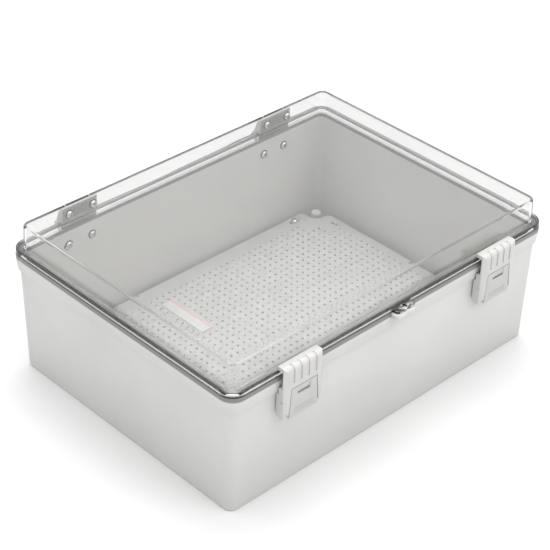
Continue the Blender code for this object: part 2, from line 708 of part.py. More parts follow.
def build_lever(name, mats, anchor):
    """Flap that is pulled out and up to release the hook."""
    front = FACE_Y + 0.2 * MM
    rear = front + 2.4 * MM
    top = BLOCK_BOTTOM - MM
    flap = [(-14.6 * MM, top), (-16.6 * MM, LATCH_FOOT), (16.6 * MM, LATCH_FOOT), (14.6 * MM, top)]
    lever = add_part(f"{name}_lever", prism(flap, "Y", front, rear), mats["latch"], anchor,
                     (0.0, *PIVOT_A))
    hub_half = 9.6 * MM
    ay, az = PIVOT_A
    hub = arc(PIVOT_A, HUB, -90.0, 90.0, 8) + [(rear - MM, az + 0.6 * MM), (rear - MM, az - HUB)]
    fuse(lever, prism(hub, "X", -hub_half, hub_half), "hub")
    boss = arc(PIVOT_B, HUB, -90.0, 90.0, 8)
    boss += [(rear - MM, PIVOT_B[1] + HUB), (rear - MM, PIVOT_B[1] - HUB)]
    fuse(lever, prism(boss, "X", -15.0 * MM, 15.0 * MM), "boss")
    bores = [rod(LATCH_PIN + FIT, "X", p, -20.0 * MM, 20.0 * MM) for p in (PIVOT_A, PIVOT_B)]
    cut(lever, merged(bores), "bores")

    slot = block((-7.0 * MM, front - MM, 105.6 * MM), (7.0 * MM, rear + 4.0 * MM, 107.2 * MM))
    cut(lever, slot, "slot")
    ramp = [(front - MM, top - MM), (front, top - MM), (front + MM, 107.3 * MM), (front - MM, 107.3 * MM)]
    cut(lever, prism(ramp, "X", -7.4 * MM, 7.4 * MM), "ramp")
    lines = []
    for i in range(4):
        z = 87.0 * MM + i * 2.0 * MM
        lines.append(block((-11.5 * MM, front - MM, z), (11.5 * MM, front + 0.4 * MM, z + 0.8 * MM)))
    cut(lever, merged(lines), "grip_lines")


def build_bracket(name, mats, anchor):
    """Foot screwed to the box wall, with two lugs for the lever pin."""
    front = -149.0 * MM
    half = 13.0 * MM
    low = 89.0 * MM
    high = COLLAR_Z - FIT
    rear = -wall_y(high) - FIT
    side = [(front, low), (-wall_y(low) - FIT, low), (rear, high), (front, high)]
    bracket = add_part(f"{name}_bracket", prism(side, "X", -half, half), mats["latch"], anchor)
    lug = [(front, 105.0 * MM), (front + 2.0 * MM, 105.0 * MM), (front + 2.0 * MM, high - 0.5 * MM)]
    lug += [(-147.9 * MM, high - 0.5 * MM), (-147.9 * MM, PIVOT_A[1] - MM)]
    lug += arc(PIVOT_A, 2.9 * MM, 0.0, 180.0, 10)
    lugs = [prism(lug, "X", side * 10.0 * MM, side * 13.0 * MM) for side in (-1, 1)]
    fuse(bracket, merged(lugs), "lugs")
    bores = [rod(LATCH_PIN + FIT, "X", PIVOT_A, -half - MM, half + MM)]
    for side in (-1, 1):
        at = (side * LATCH_SCREW[0], LATCH_SCREW[1])
        bores.append(rod(2.2 * MM, "Y", at, front + 0.6 * MM, rear + MM))
    cut(bracket, merged(bores), "bores")


def build_latch(side, mats):
    name = f"latch_{side}"
    centre_x = -PIECE_X if side == "left" else PIECE_X
    anchor = add_empty(f"{name}_place", (centre_x, 0.0, 0.0))
    build_bracket(name, mats, anchor)
    build_lever(name, mats, anchor)
    build_hook(name, mats, anchor)
    lever_pin = rod(LATCH_PIN, "X", PIVOT_A, -12.8 * MM, 12.8 * MM, 16)
    add_part(f"{name}_lever_pin", lever_pin, mats["steel"], anchor, (0.0, *PIVOT_A))
    reach = LATCH_HALF - FIT
    hook_pin = rod(LATCH_PIN, "X", PIVOT_B, -reach, reach, 16)
    add_part(f"{name}_hook_pin", hook_pin, mats["steel"], anchor, (0.0, *PIVOT_B))
    seat = FIT - inner_y(LATCH_SCREW[1])
    for i, s in enumerate((-1, 1), start=1):
        screw = screw_along_y(s * LATCH_SCREW[0], LATCH_SCREW[1], seat, -148.1 * MM, -1)
        add_part(f"{name}_screw_{i}", screw, mats["steel"], anchor)


# ---------------------------------------------------------------- assembly
def clear_scene():
    for obj in list(bpy.context.scene.objects):
        bpy.data.objects.remove(obj, do_unlink=True)


def main():
    clear_scene()
    mats = make_materials()
    build_box(mats)
    build_gasket(mats)
    build_plate(mats)
    build_plate_fixings(mats)
    build_lid(mats)
    for side in ("left", "right"):
        build_hinge(side, mats)
        build_latch(side, mats)


main()
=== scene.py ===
"""Looks of the hinged clear-cover enclosure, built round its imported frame."""

import json
import math

import bmesh
import bpy
from mathutils import Matrix, Vector
from mathutils.geometry import delaunay_2d_cdt


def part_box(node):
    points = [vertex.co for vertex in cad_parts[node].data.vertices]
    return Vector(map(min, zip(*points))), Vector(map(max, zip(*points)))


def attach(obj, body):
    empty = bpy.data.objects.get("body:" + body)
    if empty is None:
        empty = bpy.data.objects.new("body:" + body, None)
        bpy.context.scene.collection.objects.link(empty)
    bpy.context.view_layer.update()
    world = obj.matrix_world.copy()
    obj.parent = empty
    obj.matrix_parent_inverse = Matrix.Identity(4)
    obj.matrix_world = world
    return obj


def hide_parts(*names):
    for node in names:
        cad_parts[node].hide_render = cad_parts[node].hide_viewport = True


MM = 0.001
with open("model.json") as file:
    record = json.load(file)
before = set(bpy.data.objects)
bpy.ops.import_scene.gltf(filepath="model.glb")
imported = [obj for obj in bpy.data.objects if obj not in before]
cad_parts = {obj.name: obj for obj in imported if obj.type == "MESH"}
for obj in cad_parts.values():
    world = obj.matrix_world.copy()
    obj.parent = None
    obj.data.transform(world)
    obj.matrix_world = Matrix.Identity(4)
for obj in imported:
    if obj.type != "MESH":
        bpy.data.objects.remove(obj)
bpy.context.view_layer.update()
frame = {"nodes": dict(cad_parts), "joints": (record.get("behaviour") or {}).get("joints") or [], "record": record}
JOINTS = {joint["name"]: joint for joint in frame["joints"]}

# ---------------------------------------------------------------- places read from the frame
SHELL_LOW, SHELL_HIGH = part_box("box_shell")
LID_LOW, LID_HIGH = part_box("lid_cover")
PLATE_LOW, PLATE_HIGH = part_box("mounting_plate")
STRIP_LOW, STRIP_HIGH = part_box("marking_strip")
SEAM_Z = SHELL_HIGH.z                       # top of the box rim
LID_TOP = LID_HIGH.z
HINGE_Y, HINGE_Z = JOINTS["lid_hinge"]["pos_m"][1:]
LATCH_X = {side: JOINTS[f"{side}_lever_swing"]["pos_m"][0] for side in ("left", "right")}
LEVER_PIVOT = JOINTS["left_lever_swing"]["pos_m"][1:]
HOOK_PIVOT = JOINTS["left_hook_swing"]["pos_m"][1:]

# ---------------------------------------------------------------- finish sizes
CORNER_STEPS = 14            # straight runs in each rounded corner of the shells
ROUND_STEPS = 4              # straight runs in each small rounded edge
TURN_STEPS = 40              # sides of round pieces
HOLE_STEPS = 14              # sides of the plate's holes
GAP = 0.3 * MM               # clearance between neighbouring pieces
OVERCUT = 1.0 * MM           # how far a cutting tool reaches past what it cuts

SHELL_HALF = (193.5 * MM, 142.2 * MM)       # outer half sizes at the foot
FLOOR_Z = 3.5 * MM           # inner floor
COLLAR_Z = 110.0 * MM        # underside of the stiffening collar
INNER_TOP = -1.35 * MM       # inner wall at the rim, measured from the foot's outline
LIP_WIDTH = 2.2 * MM         # low inner edge beside the gasket
FLANGE_THICK = 4.0 * MM
RECESS_Y = 146.7 * MM        # rim and flange are cut back to here beside each hinge
SHELL_CORNER = 8.0 * MM
DOME_HALF = (191.8 * MM, 140.4 * MM)        # outer half sizes below the top round
DOME_CORNER = 8.0 * MM

PLATE_PITCH = 7.7 * MM
PLATE_HOLE = 1.5 * MM
PLATE_COLUMNS = 22           # each side of the middle one
PLATE_ROWS = 15
BLANK_CORNERS = ((14, 18), (12, 20))        # no hole from this row on and past this column
SIDE_SLOT = (172.5 * MM, 95.3 * MM)         # spare slots near the plate's short edges

HASP_ROOT = -146.5 * MM      # the padlock lug starts inside the rim
HASP_TIP = LID_LOW.y
HASP_HALF = 12.2 * MM
HASP_HOLE_Y = HASP_TIP + 4.6 * MM
HASP_HOLE = 3.05 * MM
LUG_EDGE = (-149.4 * MM, -148.8 * MM)       # finishes change here from the lug to the rim

SCREW_HEAD = 3.8 * MM
HEAD_HEIGHT = 2.6 * MM
KNUCKLE = 3.5 * MM           # hinge barrel radius
KNUCKLE_SPLIT = 8.6 * MM     # the lid leaf's barrel ends here, each side of the middle
HINGE_BORE = 1.8 * MM
LATCH_BORE = 1.55 * MM
HOOK_SHOULDER = 4.6 * MM     # round over the top of the latch hook


# ================================================================ geometry helpers
def arc(centre, radius, start, end, steps):
    """Points on an arc, angles in degrees, both ends included."""
    points = []
    for i in range(steps + 1):
        angle = math.radians(start + (end - start) * i / steps)
        points.append((centre[0] + radius * math.cos(angle), centre[1] + radius * math.sin(angle)))
    return points


def rounded_corner(before, corner, after, radius):
    """Arc that replaces a corner of a polyline."""
    corner = Vector(corner)
    toward = (Vector(before) - corner).normalized()
    away = (Vector(after) - corner).normalized()
    half_angle = toward.angle(away) / 2.0
    reach = radius / math.tan(half_angle)
    centre = corner + (toward + away).normalized() * (radius / math.sin(half_angle))
    first = corner + toward * reach - centre
    last = corner + away * reach - centre
    turn = math.atan2(first.x * last.y - first.y * last.x, first.dot(last))
    points = []
    for i in range(ROUND_STEPS + 1):
        angle = turn * i / ROUND_STEPS
        spun = Vector((first.x * math.cos(angle) - first.y * math.sin(angle),
                       first.x * math.sin(angle) + first.y * math.cos(angle)))
        points.append(tuple(centre + spun))
    return points


def rounded_line(corners):
    """Open polyline from (a, b, radius) corners, its inner corners rounded."""
    points = [corners[0][:2]]
    for before, corner, after in zip(corners, corners[1:], corners[2:]):
        if corner[2] > 0.0:
            points += rounded_corner(before[:2], corner[:2], after[:2], corner[2])
        else:
            points.append(corner[:2])
    points.append(corners[-1][:2])
    return points


def rounded_loop(corners):
    """Closed outline from (a, b, radius) corners."""
    points = []
    count = len(corners)
    for i, corner in enumerate(corners):
        if corner[2] > 0.0:
            before = corners[i - 1][:2]
            after = corners[(i + 1) % count][:2]
            points += rounded_corner(before, corner[:2], after, corner[2])
        else:
            points.append(corner[:2])
    return points


def rounded_rectangle(half_x, half_y, radius):
    points = []
    x = half_x - radius
    y = half_y - radius
    for corner_x, corner_y, start in ((x, y, 0.0), (-x, y, 90.0), (-x, -y, 180.0), (x, -y, 270.0)):
        points += arc((corner_x, corner_y), radius, start, start + 90.0, CORNER_STEPS)
    return points


def stadium(centre, half_length, half_width, along_x=True):
    """Slot outline with round ends."""
    reach = half_length - half_width
    x, y = centre
    if along_x:
        ends = arc((x + reach, y), half_width, -90.0, 90.0, 10)
        return ends + arc((x - reach, y), half_width, 90.0, 270.0, 10)
    ends = arc((x, y + reach), half_width, 0.0, 180.0, 10)
    return ends + arc((x, y - reach), half_width, 180.0, 360.0, 10)


def loft(loops, closed_ring=False):
    """Skin a run of equal-length loops; caps both ends unless it closes on itself."""
    shape = bmesh.new()
    rings = [[shape.verts.new(p) for p in loop] for loop in loops]
    count = len(rings[0])
    pairs = list(zip(rings, rings[1:]))
    if closed_ring:
        pairs.append((rings[-1], rings[0]))
    for lower, upper in pairs:
        for i in range(count):
            j = (i + 1) % count
            shape.faces.new((lower[i], lower[j], upper[j], upper[i]))
    if not closed_ring:
        shape.faces.new(rings[0])
        shape.faces.new(rings[-1])
    bmesh.ops.recalc_face_normals(shape, faces=shape.faces)
    return shape


def sweep(profile, half, corner, closed_ring=False):
    """Carry an (outward offset, height) profile round a rounded rectangle."""
    loops = []
    for offset, z in profile:
        outline = rounded_rectangle(half[0] + offset, half[1] + offset, corner + offset)
        loops.append([(x, y, z) for x, y in outline])
    return loft(loops, closed_ring)


def prism(outline, axis, low, high):
    """Outline extruded along an axis; the outline holds the other two coordinates."""
    def lift(point, level):
        a, b = point
        if axis == "X":
            return (level, a, b)
        if axis == "Y":
            return (a, level, b)
        return (a, b, level)

    return loft([[lift(p, level) for p in outline] for level in (low, high)])


def circle(centre, radius, steps):
    return arc(centre, radius, 0.0, 360.0 - 360.0 / steps, steps - 1)


def rod(radius, axis, centre, low, high):
    """Round bar along an axis."""
    return prism(circle(centre, radius, TURN_STEPS), axis, low, high)


def block(low, high):
    outline = [(low[0], low[1]), (high[0], low[1]), (high[0], high[1]), (low[0], high[1])]
    return prism(outline, "Z", low[2], high[2])


def turned(profile, place, axis, closed_ring=False):
    """Round piece from (radius, height) pairs along a direction from a point."""
    loops = []
    turn = Vector((0.0, 0.0, 1.0)).rotation_difference(Vector(axis)).to_matrix()
    for radius, height in profile:
        ring = circle((0.0, 0.0), radius, TURN_STEPS)
        loops.append([Vector(place) + turn @ Vector((a, b, height)) for a, b in ring])
    return loft(loops, closed_ring)


def merged(shapes):
    """Several closed shapes in one bmesh."""
    whole = bmesh.new()
    for shape in shapes:
        scrap = bpy.data.meshes.new("scrap")
        shape.to_mesh(scrap)
        whole.from_mesh(scrap)
        bpy.data.meshes.remove(scrap)
        shape.free()
    return whole


# ================================================================ objects
def mesh_object(name, shape):
    mesh = bpy.data.meshes.new(name)
    shape.to_mesh(mesh)
    shape.free()
    obj = bpy.data.objects.new(name, mesh)
    bpy.context.scene.collection.objects.link(obj)
    return obj


def boolean(obj, shape, operation):
    """Cut or join a shape for good."""
    tool = mesh_object("tool", shape)
    step = obj.modifiers.new(operation, "BOOLEAN")
    step.operation = operation
    step.solver = "EXACT"
    step.object = tool
    bake_modifiers(obj)
    bpy.data.objects.remove(tool)


def bake_modifiers(obj):
    """Replace the mesh with its modified form."""
    graph = bpy.context.evaluated_depsgraph_get()
    graph.update()
    mesh = bpy.data.meshes.new_from_object(obj.evaluated_get(graph))
    obj.modifiers.clear()
    obj.data = mesh


def soften_edges(obj, width, segments=2):
    """Small round along every sharp edge."""
    step = obj.modifiers.new("edge_round", "BEVEL")
    step.width = width
    step.segments = segments
    step.limit_method = "ANGLE"
    step.angle_limit = math.radians(35.0)
    bake_modifiers(obj)


def finish_piece(obj, material, body, nodes=(), angle=35.0):
    """Give a piece its finish, its body and the nodes that it stands for."""
    obj.data.shade_smooth()
    obj.data.set_sharp_from_angle(angle=math.radians(angle))
    obj.data.materials.clear()
    obj.data.materials.append(material)
    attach(obj, body)
    if nodes:
        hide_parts(*nodes)


# ================================================================ materials
class Tree:
    """Short way to add and join shader nodes."""

    def __init__(self, name):
        self.material = bpy.data.materials.new(name)
        self.material.use_nodes = True
        self.nodes = self.material.node_tree.nodes
        self.links = self.material.node_tree.links
        self.shader = self.nodes["Principled BSDF"]
        self.output = self.nodes["Material Output"]
        self.place = self.nodes.new("ShaderNodeTexCoord").outputs["Object"]

    @classmethod
    def of(cls, material):
        """Tree round a material that already has its nodes."""
        tree = cls.__new__(cls)
        tree.material = material
        tree.nodes = material.node_tree.nodes
        tree.links = material.node_tree.links
        tree.shader = tree.nodes["Principled BSDF"]
        tree.place = tree.nodes["Texture Coordinate"].outputs["Object"]
        return tree

    def join(self, source, target):
        self.links.new(source, target)

    def noise(self, per_metre, detail=2.0, rough=0.5, stretch=None):
        """Noise value about 0.5, in world size."""
        node = self.nodes.new("ShaderNodeTexNoise")
        node.inputs["Scale"].default_value = per_metre
        node.inputs["Detail"].default_value = detail
        node.inputs["Roughness"].default_value = rough
        source = self.place
        if stretch:
            mapping = self.nodes.new("ShaderNodeMapping")
            mapping.inputs["Scale"].default_value = stretch
            self.join(source, mapping.inputs["Vector"])
            source = mapping.outputs["Vector"]
        self.join(source, node.inputs["Vector"])
        return node.outputs["Fac"]

    def ramp(self, source, low, high, out_low=0.0, out_high=1.0):
        node = self.nodes.new("ShaderNodeMapRange")
        self.join(source, node.inputs["Value"])
        node.inputs["From Min"].default_value = low
        node.inputs["From Max"].default_value = high
        node.inputs["To Min"].default_value = out_low
        node.inputs["To Max"].default_value = out_high
        return node.outputs["Result"]

    def mix(self, factor, first, second):
        """Blend two colours; each is a colour or a socket."""
        node = self.nodes.new("ShaderNodeMix")
        node.data_type = "RGBA"
        self.join(factor, node.inputs["Factor"])
        for value, socket in ((first, node.inputs[6]), (second, node.inputs[7])):
            if isinstance(value, tuple):
                socket.default_value = (*value, 1.0)
            else:
                self.join(value, socket)
        return node.outputs[2]

    def math(self, operation, first, second):
        node = self.nodes.new("ShaderNodeMath")
        node.operation = operation
        for value, socket in ((first, node.inputs[0]), (second, node.inputs[1])):
            if isinstance(value, (int, float)):
                socket.default_value = value
            else:
                self.join(value, socket)
        return node.outputs[0]

    def along(self, axis):
        """Position along one of the object's axes."""
        node = self.nodes.new("ShaderNodeSeparateXYZ")
        self.join(self.place, node.inputs["Vector"])
        return node.outputs[axis]

    def away_from(self, axis, place):
        """Distance from a place along one of the object's axes."""
        return self.math("ABSOLUTE", self.math("SUBTRACT", self.along(axis), place), 0.0)

    def edges(self):
        """1 on raised edges, 0 elsewhere."""
        node = self.nodes.new("ShaderNodeNewGeometry")
        return self.ramp(node.outputs["Pointiness"], 0.52, 0.60)

    def bump(self, height, distance, after=None):
        node = self.nodes.new("ShaderNodeBump")
        node.inputs["Distance"].default_value = distance
        node.inputs["Strength"].default_value = 1.0
        self.join(height, node.inputs["Height"])
        if after is not None:
            self.join(after, node.inputs["Normal"])
        return node.outputs["Normal"]


def scaled(colour, factor):
    return tuple(min(c * factor, 1.0) for c in colour)


def moulded_plastic(name, colour, roughness, grain=0.02, spread=0.03):
    """Moulded plastic: slight cloudiness, spark-eroded grain, flow marks and a lighter colour along convex edges.
    """
    tree = Tree(name)
    cloud = tree.ramp(tree.noise(9.0, 3.0), 0.35, 0.65)
    base = tree.mix(cloud, scaled(colour, 1.0 - spread), scaled(colour, 1.0 + spread))
    speck = tree.ramp(tree.noise(900.0, 1.0), 0.66, 0.74)
    base = tree.mix(speck, base, scaled(colour, 0.93))
    base = tree.mix(tree.math("MULTIPLY", tree.edges(), 0.35), base, scaled(colour, 1.12))
    tree.join(base, tree.shader.inputs["Base Color"])
    gloss = tree.ramp(tree.noise(45.0, 4.0), 0.3, 0.7, roughness - 0.07, roughness + 0.07)
    tree.join(gloss, tree.shader.inputs["Roughness"])
    flow = tree.bump(tree.noise(30.0, 2.0, stretch=(1.0, 1.0, 0.3)), 0.10 * MM)
    skin = tree.bump(tree.noise(2600.0, 2.0, 0.6), grain * MM, flow)
    tree.join(skin, tree.shader.inputs["Normal"])
    tree.shader.inputs["IOR"].default_value = 1.5
    return tree.material


def sheet_plastic(name, colour, roughness):
    """Plate plastic: painted light makes the hole walls and edges whitish, and a little light passes through it.
    """
    material = moulded_plastic(name, colour, roughness, grain=0.01, spread=0.02)
    tree = Tree.of(material)
    base = tree.shader.inputs["Base Color"].links[0].from_socket
    top = PLATE_HIGH.z
    # Painted light: everything below the top face, mostly the hole walls, is painted whitish to lift the shade in
    # the holes.
    hole_wall_light = tree.ramp(tree.along("Z"), top - 0.5 * MM, top - 0.2 * MM, 1.0, 0.0)
    base = tree.mix(hole_wall_light, base, (0.93, 0.93, 0.92))
    tree.join(base, tree.shader.inputs["Base Color"])
    tree.shader.inputs["Subsurface Weight"].default_value = 1.0
    tree.shader.inputs["Subsurface Radius"].default_value = (1.0, 1.0, 1.0)
    tree.shader.inputs["Subsurface Scale"].default_value = 5.0 * MM
    return material


def box_moulding(name, colour, roughness):
    """The tub's plastic: painted shade in a band on the rim below the gasket, a faint mould line, and painted
    shade darkening the walls towards the foot.
    """
    material = moulded_plastic(name, colour, roughness)
    tree = Tree.of(material)
    base = tree.shader.inputs["Base Color"].links[0].from_socket
    # Painted shade: a dark band on the rim just below the gasket, left off the padlock lug.
    rim_shade_band = tree.ramp(tree.along("Z"), SEAM_Z - 4.8 * MM, SEAM_Z - 3.6 * MM)
    not_lug = tree.ramp(tree.along("Y"), *LUG_EDGE)
    rim_shade_band = tree.math("MULTIPLY", rim_shade_band, not_lug)
    base = tree.mix(rim_shade_band, base, scaled(colour, 0.36))
    split = tree.ramp(tree.away_from("Y", 131.5 * MM), 0.3 * MM, 0.6 * MM, 0.5, 0.0)
    base = tree.mix(split, base, scaled(colour, 0.84))
    # Painted shade: the tub's colour darkens towards the foot of the walls.
    foot = tree.ramp(tree.along("Z"), 0.0, 75.0 * MM, 0.4, 0.0)
    tree.join(tree.mix(foot, base, scaled(colour, 0.80)), tree.shader.inputs["Base Color"])
    return material


def bright_metal(name, colour, roughness):
    """Plated screw metal with fine turning lines and a few dull spots."""
    tree = Tree(name)
    tree.shader.inputs["Metallic"].default_value = 1.0
    spots = tree.ramp(tree.noise(700.0, 3.0), 0.45, 0.7)
    tree.join(tree.mix(spots, colour, scaled(colour, 0.78)), tree.shader.inputs["Base Color"])
    gloss = tree.ramp(tree.noise(1500.0, 2.0), 0.3, 0.7, roughness - 0.06, roughness + 0.1)
    tree.join(gloss, tree.shader.inputs["Roughness"])
    tree.join(tree.bump(tree.noise(5000.0, 1.0), 0.01 * MM), tree.shader.inputs["Normal"])
    return tree.material


def clear_cover(name):
    """Polished clear polycarbonate; the thick flange is darker, partly its own tint and partly painted shade that
    is strongest along the latch side and the left end; lamp light passes through it.
    """
    tree = Tree(name)
    shader = tree.shader
    shader.inputs["Transmission Weight"].default_value = 1.0
    shader.inputs["IOR"].default_value = 1.585
    haze = tree.ramp(tree.noise(25.0, 4.0), 0.3, 0.8)
    clear = tree.mix(haze, (0.892, 0.891, 0.889), (0.872, 0.871, 0.869))
    flange_top = LID_LOW.z + FLANGE_THICK
    # The flange's colour is darkened: partly the tint of the thick plastic, partly painted shade.
    thick = tree.ramp(tree.along("Z"), flange_top - 0.6 * MM, flange_top + 0.6 * MM, 1.0, 0.0)
    not_lug = tree.ramp(tree.along("Y"), *LUG_EDGE)
    thick = tree.math("MULTIPLY", thick, not_lug)
    # Painted shade: the flange is painted much darker along the latch side and the left end than at the back and
    # right.
    latch_side = tree.ramp(tree.along("Y"), -146.0 * MM, -136.0 * MM, 1.0, 0.0)
    left_end = tree.ramp(tree.along("X"), -197.0 * MM, -187.0 * MM, 1.0, 0.0)
    front_left_shade = tree.math("MAXIMUM", latch_side, left_end)
    edge = tree.mix(front_left_shade, (0.74, 0.74, 0.745), (0.36, 0.36, 0.365))
    tree.join(tree.mix(thick, clear, edge), shader.inputs["Base Color"])
    smear = tree.ramp(tree.noise(12.0, 5.0, 0.7), 0.45, 0.8, 0.0, 0.03)
    tree.join(smear, shader.inputs["Roughness"])
    tree.join(tree.bump(tree.noise(14.0, 1.0), 0.05 * MM), shader.inputs["Normal"])
    through = tree.nodes.new("ShaderNodeBsdfTransparent")
    through.inputs["Color"].default_value = (0.755, 0.753, 0.745, 1.0)
    path = tree.nodes.new("ShaderNodeLightPath")
    mixer = tree.nodes.new("ShaderNodeMixShader")
    tree.join(path.outputs["Is Shadow Ray"], mixer.inputs["Fac"])
    tree.join(shader.outputs["BSDF"], mixer.inputs[1])
    tree.join(through.outputs["BSDF"], mixer.inputs[2])
    tree.join(mixer.outputs["Shader"], tree.output.inputs["Surface"])
    return tree.material


def foam(name):
    """Dark closed-cell sealing foam."""
    tree = Tree(name)
    cells = tree.nodes.new("ShaderNodeTexVoronoi")
    cells.inputs["Scale"].default_value = 1800.0
    tree.join(tree.place, cells.inputs["Vector"])
    between = tree.ramp(cells.outputs["Distance"], 0.1, 0.7)
    base = tree.mix(between, (0.018, 0.018, 0.019), (0.04, 0.04, 0.042))
    tree.join(base, tree.shader.inputs["Base Color"])
    tree.shader.inputs["Roughness"].default_value = 0.85
    tree.join(tree.bump(cells.outputs["Distance"], 0.15 * MM), tree.shader.inputs["Normal"])
    return tree.material


def marked_strip(name):
    """Pale smooth strip with one thin red line along its right side."""
    tree = Tree(name)
    cloud = tree.ramp(tree.noise(120.0, 3.0), 0.3, 0.7)
    plain = tree.mix(cloud, (0.66, 0.66, 0.65), (0.70, 0.70, 0.69))
    away = tree.away_from("X", STRIP_HIGH.x - 2.2 * MM)
    line = tree.ramp(away, 0.55 * MM, 0.8 * MM, 1.0, 0.0)
    tree.join(tree.mix(line, plain, (0.85, 0.30, 0.32)), tree.shader.inputs["Base Color"])
    tree.shader.inputs["Roughness"].default_value = 0.45
    tree.join(tree.bump(tree.noise(1800.0), 0.01 * MM), tree.shader.inputs["Normal"])
    return tree.material


def make_materials():
    return {
        "box": box_moulding("box_moulding", (0.615, 0.612, 0.598), 0.46),
        "clear_cover": clear_cover("clear_cover"),
        "gasket": foam("gasket_foam"),
        "plate": sheet_plastic("plate_sheet", (0.545, 0.545, 0.536), 0.42),
        "marking_strip": marked_strip("marking_strip"),
        "insert": bright_metal("insert_brass", (0.80, 0.62, 0.30), 0.3),
        "plug": moulded_plastic("plug_cap", (0.80, 0.80, 0.79), 0.4, grain=0.008),
        "steel": bright_metal("screw_steel", (0.80, 0.79, 0.77), 0.2),
        "hinge": moulded_plastic("hinge_nylon", (0.50, 0.50, 0.495), 0.4),
        # The hook and the lever are lighter and darker copies of the latch nylon: painted light on the hook,
        # painted shade on the lever.
        "latch": moulded_plastic("latch_nylon", (0.525, 0.521, 0.508), 0.38, grain=0.012),
        "hook": moulded_plastic("hook_nylon", (0.56, 0.556, 0.543), 0.38, grain=0.012),
        "lever": moulded_plastic("lever_nylon", (0.495, 0.491, 0.478), 0.38, grain=0.012),
    }


# ================================================================ box
def shell_profile():
    """Cross-section of the tub: (outward offset from the foot, height, edge radius)."""
    draft = 2.7 * MM
    step = 2.0 * MM
    rim = 6.15 * MM
    rim_foot = SEAM_Z - 7.4 * MM
    lip_z = SEAM_Z - 0.9 * MM
    inner_low = INNER_TOP - 1.7 * MM
    return rounded_line([
        (-6.0 * MM, 0.0, 0.0),
        (0.0, 0.0, 1.6 * MM),
        (draft, COLLAR_Z, 0.3 * MM),
        (draft + step, COLLAR_Z, 0.6 * MM),
        (rim, rim_foot, 0.4 * MM),
        (rim, SEAM_Z, 0.6 * MM),
        (INNER_TOP + LIP_WIDTH, SEAM_Z, 0.2 * MM),
        (INNER_TOP + LIP_WIDTH, lip_z, 0.2 * MM),
        (INNER_TOP, lip_z, 0.4 * MM),
        (inner_low, FLOOR_Z, 3.0 * MM),
        (-7.5 * MM, FLOOR_Z, 0.0),
    ])


def hasp_outline():
    """Padlock lug seen from above: two lobes and a shallow notch."""
    notch_y = HASP_TIP + 0.7 * MM
    return rounded_loop([
        (-HASP_HALF, HASP_ROOT, 0.0),
        (-HASP_HALF, HASP_TIP, 4.2 * MM),
        (-3.2 * MM, HASP_TIP, 0.8 * MM),
        (-1.8 * MM, notch_y, 0.5 * MM),
        (1.8 * MM, notch_y, 0.5 * MM),
        (3.2 * MM, HASP_TIP, 0.8 * MM),
        (HASP_HALF, HASP_TIP, 4.2 * MM),
        (HASP_HALF, HASP_ROOT, 0.0),
    ])


def add_lug(obj, low, high, width, segments):
    """Join one half of the padlock hasp to a rim."""
    hasp = mesh_object("hasp", prism(hasp_outline(), "Z", low, high))
    soften_edges(hasp, width, segments)
    lug = bmesh.new()
    lug.from_mesh(hasp.data)
    bpy.data.objects.remove(hasp)
    boolean(obj, lug, "UNION")


def mirrored(x, y):
    return [(sx * x, sy * y) for sx in (-1, 1) for sy in (-1, 1)]


def centre_of(node):
    low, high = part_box(node)
    return (low + high) / 2.0


def hinge_recesses(low_z, high_z):
    """Blocks that cut the rim and the flange back beside both hinges."""
    reach = 0.6 * MM
    tools = []
    for side in ("left", "right"):
        low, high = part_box(f"hinge_{side}_lid_leaf")
        tools.append(block((low.x - reach, RECESS_Y, low_z), (high.x + reach, 152.0 * MM, high_z)))
    return tools


def floor_posts():
    """Corner pillars and plate standoffs on the floor, and the bores down through them."""
    plug_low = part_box("mount_plug_1")[1].z - 2.2 * MM
    foot = FLOOR_Z - OVERCUT
    posts = []
    bores = []
    for i in range(1, 5):
        plug = centre_of(f"mount_plug_{i}")
        posts.append(rod(5.4 * MM, "Z", (plug.x, plug.y), foot, plug_low))
        bores.append(rod(3.0 * MM, "Z", (plug.x, plug.y), -OVERCUT, plug_low + OVERCUT))
        screw = centre_of(f"plate_screw_{i}")
        posts.append(rod(5.5 * MM, "Z", (screw.x, screw.y), foot, PLATE_LOW.z - GAP))
        bores.append(rod(3.1 * MM, "Z", (screw.x, screw.y), 7.5 * MM, PLATE_LOW.z + OVERCUT))
    return posts, bores


def wall_bores():
    """Clearance holes in the long walls for the hinge and latch screws."""
    bores = []
    for side in ("left", "right"):
        for stem in (f"hinge_{side}_box_screw", f"latch_{side}_screw"):
            for i in (1, 2):
                at = centre_of(f"{stem}_{i}")
                out = math.copysign(1.0, at.y)
                span = sorted((out * 137.0 * MM, out * 148.0 * MM))
                bores.append(rod(2.3 * MM, "Y", (at.x, at.z), *span))
    return bores


def build_box(mats):
    tub = mesh_object("box_tub", sweep(shell_profile(), SHELL_HALF, SHELL_CORNER))
    posts, bores = floor_posts()
    boolean(tub, merged(posts), "UNION")
    add_lug(tub, SEAM_Z - 5.0 * MM, SEAM_Z - GAP, 0.5 * MM, segments=3)
    hole_at = (0.0, HASP_HOLE_Y)
    bores.append(rod(HASP_HOLE, "Z", hole_at, SEAM_Z - 7.0 * MM, SEAM_Z + OVERCUT))
    bores += wall_bores()
    boolean(tub, merged(hinge_recesses(COLLAR_Z - OVERCUT, SEAM_Z + OVERCUT)), "DIFFERENCE")
    boolean(tub, merged(bores), "DIFFERENCE")
    finish_piece(tub, mats["box"], "box", ["box_shell"])


